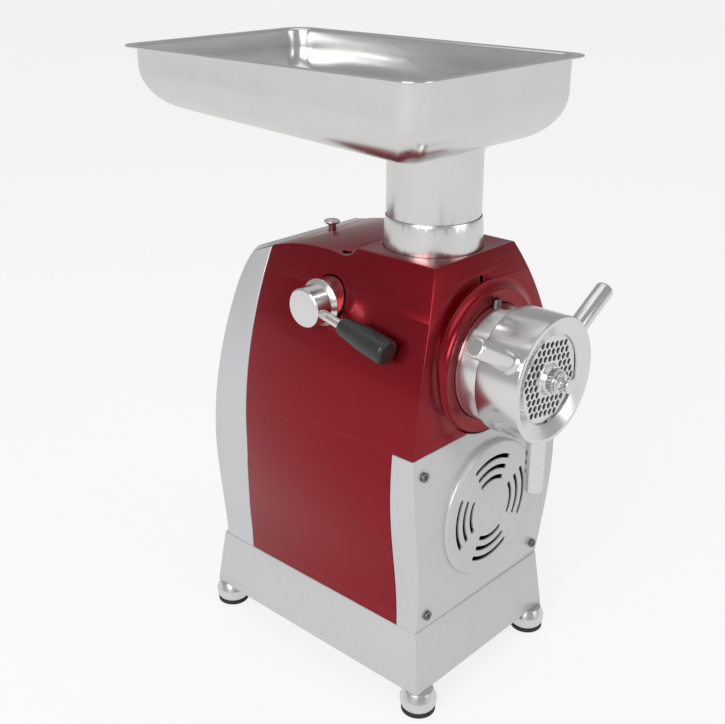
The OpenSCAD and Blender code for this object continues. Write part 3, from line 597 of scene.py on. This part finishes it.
def make_socket_ring():
    """The boss round the head: a flare off the front, a raised lip and a stepped mouth."""
    profile = (
        [(52.4, 126), (60, 126), (60, 114.6), (66.5, 114.6), (73.5, 130.2)]
        + curve((73.5, 130.2), (66.8, 131.0), (65.4, 134.6), 12)[1:]
        + curve((65.4, 134.6), (65.0, 136.0), (63.8, 136.1), 6)[1:]
        + curve((63.8, 136.1), (58, 134.9), (53.4, 135.6), 8)[1:]
        + [(52.4, 134.8)]
    )
    ring = turned(profile + profile[:1], (0, 0, AXIS_Z), ALONG_FRONT, 128)
    carve(ring, rod(4.4, 45, 57.8, (0, -137.4, AXIS_Z), (0, 0, 0), 24))
    soften(ring, 0.3, 2, 35)
    settle(ring, "head_boss", "red_paint", "machine", "socket_ring")


# ---------- feet ----------
def make_feet():
    """Four turned cups, each on a moulded pad."""
    cup_profile = [(4.6, 5), (15.4, 5), (17.2, 11), (17.2, 15.2), (16.4, 17), (13.6, 24.3), (4.6, 24.3)]
    cup = turned(cup_profile + cup_profile[:1], (0, 0, 0), steps=64)
    pad = turned([(0, 0), (15, 0), (16, 1), (16, 4), (15.1, 4.9), (0, 4.9)], (0, 0, 0), steps=64)
    soften(cup, 0.5, 3, 25)
    soften(pad, 0.4, 3, 25)
    for piece, name, slot, node in ((cup, "foot_cups_turned", "stainless", "foot_cups"),
                                    (pad, "foot_pads_moulded", "rubber", "foot_pads")):
        copies = []
        for x, y in FEET:
            one = copy_of(piece)
            one.location = (x * MM, y * MM, 0)
            place(one)
            copies.append(one)
        bpy.data.objects.remove(piece)
        settle(joined(copies), name, slot, "machine", node)


# ---------- head ----------
def make_ring_nut():
    """The ring nut: a wide flat rim and a cone down to the plate."""
    profile = [
        (50.4, 160), (51.5, 158.5), (55.2, 158.5), (55.8, 159.3), (55.8, 199.5), (54.9, 200.5),
        (51.6, 200.5), (50.9, 200.1), (40.2, 196.6), (39.5, 196.1), (39.5, 194.5), (44.5, 194.5),
        (50.4, 190.5),
    ]
    nut = turned(profile + profile[:1], (0, 0, AXIS_Z), ALONG_FRONT, 128)
    soften(nut, 0.3, 3, 20)
    settle(nut, "ring_nut_turned", "polished", "ring", "ring_nut")


def make_handles():
    """Three straight bars round the ring nut, each on a small rounded boss."""
    profile = [
        (0, 52.1), (5.4, 52.1), (5.4, 55.2), (10.6, 55.2), (10.6, 56.4), (9.6, 58.2), (8.5, 60.4),
        (8.5, 106.6), (8.0, 108.2), (6.6, 109), (0, 109),
    ]
    bars = []
    for degrees in (30, 150, 270):
        bar = turned(profile, (0, -186, AXIS_Z), (0, math.radians(90 - degrees), 0), 48)
        soften(bar, 0.6, 3, 20)
        bars.append(bar)
    settle(joined(bars), "ring_bars", "polished", "ring", "ring_handles")


def eased(node, width, slot, body, angle=30):
    """A copy of a machined part with its edges broken."""
    piece = copy_of(frame["nodes"][node])
    piece.parent = None
    for key in list(piece.keys()):
        del piece[key]
    open_mesh(piece)
    bpy.ops.mesh.remove_doubles(threshold=0.002 * MM)
    bpy.ops.mesh.dissolve_limited(angle_limit=math.radians(0.6))
    close_mesh()
    soften(piece, width, 2, angle)
    settle(piece, node + "_eased", slot, body, node)


def make_stud_end():
    """The stud's necked round tip and the bright washer with its C groove."""
    tip = [(0, 152), (5.8, 152), (5.8, 205.4), (3.4, 207.2), (3.2, 211.6)]
    tip += curve((3.2, 211.6), (3.6, 213.0), (6.2, 213.4), 5)[1:]
    tip += curve((6.2, 213.4), (7.2, 214.9), (6.0, 216.4), 6)[1:]
    stud = turned(tip + [(3.4, 216.9), (0, 216.9)], (0, 0, AXIS_Z), ALONG_FRONT, 48)
    soften(stud, 0.2, 2, 30)
    settle(stud, "auger_stud_turned", "polished", "screw", "auger_stud")
    rim = [(5.84, 204.3), (9.0, 204.3), (9.5, 204.9), (9.5, 206.0), (9.0, 206.5), (5.84, 206.5)]
    washer = turned(rim + rim[:1], (0, 0, AXIS_Z), ALONG_FRONT, 72)
    groove = arc(0, 0, 8.1, 60, 330, 20) + arc(0, 0, 7.1, 330, 60, 20)
    carve(washer, slab([(x, -208, AXIS_Z + z) for x, z in groove], (0, 2.3, 0)))
    soften(washer, 0.15, 2, 30)
    settle(washer, "stud_washer_grooved", "polished", "screw", "stud_washer")


# ---------- tray ----------
def make_tray():
    """The pan drawn from one sheet: rim, wall, wide bottom fillet and sloping floor, then its spout."""
    low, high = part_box("tray")
    mid_y = (low[1] + high[1]) / 2
    half_x, half_y = high[0], (high[1] - low[1]) / 2
    rim, sheet, fillet, slope = 9 * MM, 1.5 * MM, 39 * MM, math.radians(2.2)
    bpy.ops.object.select_all(action="DESELECT")
    bpy.ops.mesh.primitive_plane_add(size=2, location=(0, mid_y, high[2]))
    pan = bpy.context.object
    pan.scale = (half_x, half_y, 1)
    place(pan)
    open_mesh(pan)
    bpy.ops.mesh.bevel(offset=20 * MM, segments=10, affect="VERTICES")
    bpy.ops.mesh.delete(type="ONLY_FACE")
    bpy.ops.mesh.select_all(action="SELECT")
    reach = {"x": half_x, "y": half_y, "z": high[2]}

    def ring(inset, z):
        """One more ring of the pan, inset from the rim and at height z."""
        bpy.ops.mesh.extrude_edges_move(TRANSFORM_OT_translate={"value": (0, 0, z - reach["z"])})
        nx, ny = half_x - inset, half_y - inset
        bpy.ops.transform.resize(value=(nx / reach["x"], ny / reach["y"], 1), center_override=(0, mid_y, z))
        reach.update(x=nx, y=ny, z=z)

    ring(rim - 3 * MM, high[2])
    for k in (30, 60, 90):
        a = math.radians(k)
        ring(rim - 3 * MM * (1 - math.sin(a)), high[2] - 3 * MM * (1 - math.cos(a)))
    floor = 504.5 * MM + 6 * MM
    ring(rim, floor + fillet)
    bpy.ops.transform.rotate(value=-slope, orient_axis="X", center_override=(0, mid_y, reach["z"]))
    for i in range(1, 11):
        a = math.radians(9 * i)
        ring(rim + fillet * (1 - math.cos(a)), floor + fillet * (1 - math.sin(a)))
    bpy.ops.mesh.edge_face_add()
    bpy.ops.mesh.select_all(action="SELECT")
    bpy.ops.mesh.normals_make_consistent(inside=False)
    close_mesh()
    turn_up(pan)
    add_modifier(pan, "SOLIDIFY", thickness=sheet, offset=-1, use_even_offset=True)
    wall = [(40.05, 426.6), (41.5, 426.6), (41.5, 499), (43.5, 507), (43.5, 509), (40.05, 509)]
    spout = turned(wall + wall[:1], (0, TUBE_Y, 0))
    carve(pan, rod(40.05, 400, 560, (0, TUBE_Y, 0), (0, 0, 0), 96))
    carve(pan, spout, "UNION")
    soften(pan, 0.35, 2, 40)
    settle(pan, "tray_pressed", "stainless", "pan", "tray")


def turn_up(pan):
    """Turns the open sheet so that its floor faces up."""
    floor = max(pan.data.polygons, key=lambda f: f.area)
    if floor.normal.z < 0:
        open_mesh(pan)
        bpy.ops.mesh.flip_normals()
        close_mesh()


# ---------- lever ----------
def make_lever():
    """The hub, its bar and the moulded grip."""
    hub_profile = [
        (0, 106), (16.2, 106), (17.6, 104.8), (17.6, 88.6), (21.0, 85.6), (21.5, 85.2), (21.5, 84.1),
        (21.0, 83.8), (21.0, 66), (18, 66), (18, 74), (6.02, 74), (6.02, 90), (0, 90),
    ]
    hub = turned(hub_profile, (0, LEVER_Y, LEVER_Z), ALONG_SIDE, 96)
    soften(hub, 0.35, 3, 25)
    settle(hub, "lever_hub_turned", "polished", "clamp", "lever_hub")
    lean = (math.pi / 2 + LEVER_DROOP, 0, 0)
    middle = (LEVER_X, LEVER_Y, LEVER_Z)
    bar = turned([(0, 9.2), (4.7, 9.2), (4.7, 77), (0, 77)], middle, lean, 48)
    soften(bar, 0.4, 2, 30)
    settle(bar, "lever_bar", "polished", "clamp", "lever_rod")
    grip_profile = (
        [(0, 77.6), (4.8, 77.6), (4.8, 38.5)]
        + curve((5.4, 38.5), (7.6, 38.7), (8.6, 42.5), 6)
        + curve((8.6, 42.5), (9.4, 52), (10.9, 62), 8)[1:]
        + curve((10.9, 62), (11.9, 74), (11.8, 89.6), 8)[1:]
        + curve((11.8, 89.6), (11.7, 92.6), (9.0, 93), 6)[1:]
        + [(0, 93)]
    )
    grip = turned(grip_profile, middle, lean, 72)
    soften(grip, 0.2, 2, 40)
    settle(grip, "lever_grip_moulded", "grip_plastic", "clamp", "lever_grip")


def make_reset_knob():
    """The small mushroom button on the roof."""
    profile = (
        [(0, 388.3), (5.6, 388.3), (5.6, 389.4), (4, 389.4), (4, 412), (6.6, 412.4), (7.6, 413.2)]
        + [(7.7, 414.4)]
        + curve((7.7, 414.4), (7.0, 416.2), (0, 416.8), 8)[1:]
    )
    knob = turned(profile, (0, KNOB_Y, 0), steps=48)
    soften(knob, 0.15, 2, 30)
    settle(knob, "reset_knob_turned", "stainless", "reset", "reset_button")


# ---------- studio ----------
def make_camera():
    """The three-quarter view from the front and above."""
    data = bpy.data.cameras.new("main camera")
    data.lens = 53.30
    data.sensor_width = 36
    data.clip_start, data.clip_end = 0.05, 50
    cam = bpy.data.objects.new("main camera", data)
    cam.location = (-0.70932, -0.63809, 0.68499)
    cam.rotation_euler = (math.radians(67.26), 0, math.radians(-47.23))
    bpy.context.scene.collection.objects.link(cam)
    bpy.context.scene.camera = cam


def soft_light(name, where, towards, size, power):
    data = bpy.data.lights.new(name, "AREA")
    data.shape = "RECTANGLE"
    data.size, data.size_y = size
    data.energy = power
    lamp = bpy.data.objects.new(name, data)
    lamp.location = where
    lamp.rotation_euler = (Vector(towards) - Vector(where)).to_track_quat("-Z", "Y").to_euler()
    bpy.context.scene.collection.objects.link(lamp)


def make_studio():
    """A pale floor, an even backdrop and three soft lamps."""
    bpy.context.scene.view_settings.view_transform = "Standard"
    world = bpy.data.worlds.new("studio")
    bpy.context.scene.world = world
    world.use_nodes = True
    tree = world.node_tree
    back = tree.nodes["Background"]
    split = add_node(tree, "SeparateXYZ")
    tree.links.new(add_node(tree, "TexCoord").outputs["Generated"], split.inputs[0])
    ramp = add_node(tree, "ValToRGB")
    stops = ramp.color_ramp.elements
    stops[0].position, stops[0].color = 0.0, (0.70, 0.70, 0.70, 1)
    stops[1].position, stops[1].color = 1.0, (0.38, 0.38, 0.38, 1)
    for spot, shade in ((0.46, 0.62), (0.50, 0.46), (0.58, 0.40), (0.74, 0.36)):
        stop = stops.new(spot)
        stop.color = (shade, shade, shade, 1)
    tree.links.new(spread(tree, 0.5, 0.5, split.outputs["Z"]), ramp.inputs[0])
    plain = add_node(tree, "Mix", data_type="RGBA")
    tree.links.new(add_node(tree, "LightPath").outputs["Is Camera Ray"], plain.inputs["Factor"])
    tree.links.new(ramp.outputs[0], plain.inputs[COLOR_A])
    plain.inputs[COLOR_B].default_value = BACKDROP
    tree.links.new(plain.outputs[COLOR_OUT], back.inputs["Color"])
    soft_light("key from the left", (-2.2, -0.6, 1.5), (0, 0, 0.3), (1.6, 1.4), 34)
    soft_light("fill from the front", (0.6, -2.4, 1.1), (0, 0, 0.3), (1.4, 1.4), 9)
    soft_light("top", (0, 0.3, 2.4), (0, 0, 0.3), (2.0, 2.0), 9)
    bpy.ops.object.select_all(action="DESELECT")
    bpy.ops.mesh.primitive_plane_add(size=80, location=(0, 0, -0.0005))
    floor = bpy.context.object
    floor.name = "studio_floor"
    made, tree, shader = blank("pale floor")
    grain = place_group(tree, GRAIN, Scale=60.0)
    tree.links.new(tint(tree, (0.15, 0.15, 0.15), (0.17, 0.17, 0.17), grain.outputs["Grain"], 1.0),
                   shader.inputs["Base Color"])
    shader.inputs["Roughness"].default_value = 0.9
    shader.inputs["Specular IOR Level"].default_value = 0.0
    shader.inputs["Emission Color"].default_value = (1, 1, 1, 1)
    seen = add_node(tree, "LightPath").outputs["Is Camera Ray"]
    tree.links.new(spread(tree, 0.70, 0.13, seen), shader.inputs["Emission Strength"])
    floor.data.materials.append(made)


finish_cad_nodes()
make_camera()
make_studio()
make_housing()
make_vent_disc()
make_socket_ring()
make_feet()
make_ring_nut()
make_handles()
make_stud_end()
make_tray()
make_lever()
make_reset_knob()
for node, width, slot, body in (
    ("plinth", 1.0, "silver_paint", "machine"),
    ("head_barrel", 0.4, "polished", "head"),
    ("feed_tube", 0.3, "stainless", "feed"),
    ("plate", 0.15, "polished", "head"),
    ("knurled_nut", 0.15, "stainless", "screw"),
    ("index_pin", 0.3, "machined", "head"),
    ("panel_screws", 0.25, "machined", "machine"),
    ("rear_cover_screws", 0.2, "machined", "machine"),
    ("switch_bezel", 0.6, "black_plastic", "machine"),
    ("switch_rocker", 0.5, "rocker_red", "switch"),
    ("power_inlet", 0.3, "black_plastic", "machine"),
):
    eased(node, width, slot, body)
